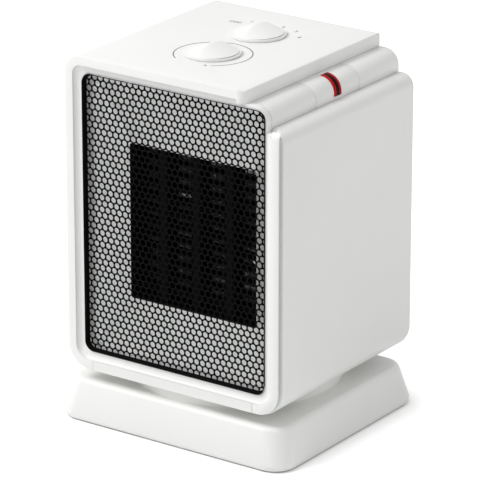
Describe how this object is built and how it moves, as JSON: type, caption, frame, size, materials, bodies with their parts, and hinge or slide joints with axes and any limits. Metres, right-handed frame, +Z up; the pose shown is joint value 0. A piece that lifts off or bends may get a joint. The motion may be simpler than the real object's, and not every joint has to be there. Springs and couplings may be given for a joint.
{
  "type": "ceramic space heater",
  "caption": "Ceramic fan heater: a rounded box head with a perforated front that swings on a low base, with rotary controls on top.",
  "frame": {"origin": "on the floor under the middle of the base, on the upright axis about which the head swings", "axes": "+X to the right seen from the front, +Y to the back, away from the grille, +Z up"},
  "size_m": [0.188, 0.1674, 0.2679],
  "materials": {
    "white_plastic": "fine satin moulding",
    "white_gloss": "smooth moulding",
    "grey_plastic": "satin moulding",
    "black_plastic": "satin moulding",
    "red_plastic": "polished",
    "lamp": "clear tinted",
    "black_steel": "satin black paint",
    "fins": "dark coated",
    "element_ceramic": "matt",
    "steel": "zinc plated",
    "brass": "plain",
    "rubber": "matt"
  },
  "bodies": {
    "base": {"base_shell": "white_plastic", "base_bottom_plate": "white_plastic", "rubber_foot_1": "rubber", "rubber_foot_2": "rubber", "rubber_foot_3": "rubber", "rubber_foot_4": "rubber", "base_screw_1": "steel", "base_screw_2": "steel", "base_screw_3": "steel", "base_screw_4": "steel", "slide_washer": "white_gloss", "oscillation_motor": "steel", "tip_switch": "black_plastic", "tip_spring": "steel", "cord_inlet": "white_plastic"},
    "crank": {"oscillation_crank": "grey_plastic"},
    "plunger": {"tip_plunger": "red_plastic"},
    "head": {"left_shell": "white_plastic", "right_shell": "white_plastic", "side_panel": "white_plastic", "bottom_trim": "white_plastic", "shoulder_front": "white_gloss", "shoulder_rear": "white_gloss", "lamp_cover": "white_gloss", "signal_lens": "red_plastic", "signal_lamp": "lamp", "front_bezel": "white_gloss", "front_grille": "black_steel", "heater_hood": "white_gloss", "element_frame": "black_plastic", "fin_bank_1": "fins", "fin_bank_2": "fins", "fin_bank_3": "fins", "fin_bank_4": "fins", "ceramic_bar_1": "element_ceramic", "ceramic_bar_2": "element_ceramic", "ceramic_bar_3": "element_ceramic", "fan_duct": "grey_plastic", "fan_motor": "steel", "motor_bracket": "steel", "rear_cover": "white_plastic", "rear_screw_1": "steel", "rear_screw_2": "steel", "rear_screw_3": "steel", "rear_screw_4": "steel", "control_plate": "steel", "thermostat": "brass", "mode_switch": "black_plastic", "thermal_cutout": "black_plastic", "terminal_block": "white_plastic", "swivel_spindle": "grey_plastic", "swivel_retainer": "steel", "swing_arm": "grey_plastic"},
    "fan": {"fan_impeller": "grey_plastic", "motor_shaft": "steel"},
    "thermostat_control": {"thermostat_knob": "white_gloss", "thermostat_shaft": "steel"},
    "mode_control": {"mode_knob": "white_gloss", "mode_shaft": "steel"}
  },
  "joints": [
    {"name": "head_swing", "type": "hinge", "parent": "base", "child": "head", "pos_m": [0, 0, 0.036], "axis": [0, 0, 1], "range_deg": [-30, 30]},
    {"name": "crank_turn", "type": "hinge", "parent": "base", "child": "crank", "pos_m": [0, 0.044, 0.014], "axis": [0, 0, 1], "continuous": true},
    {"name": "plunger_slide", "type": "slide", "parent": "base", "child": "plunger", "axis": [0, 0, -1], "range_m": [0, 0.004], "stiffness_N_per_m": 100, "springref_m": 0.006, "deforming": ["tip_spring"]},
    {"name": "thermostat_turn", "type": "hinge", "parent": "head", "child": "thermostat_control", "pos_m": [-0.0046, -0.0224, 0.26], "axis": [0, 0, 1], "range_deg": [-135, 135]},
    {"name": "mode_turn", "type": "hinge", "parent": "head", "child": "mode_control", "pos_m": [-0.0046, 0.0306, 0.26], "axis": [0, 0, 1], "range_deg": [-60, 60]},
    {"name": "fan_spin", "type": "hinge", "parent": "head", "child": "fan", "pos_m": [0, -0.0077, 0.14155], "axis": [0, 1, 0], "continuous": true}
  ]
}
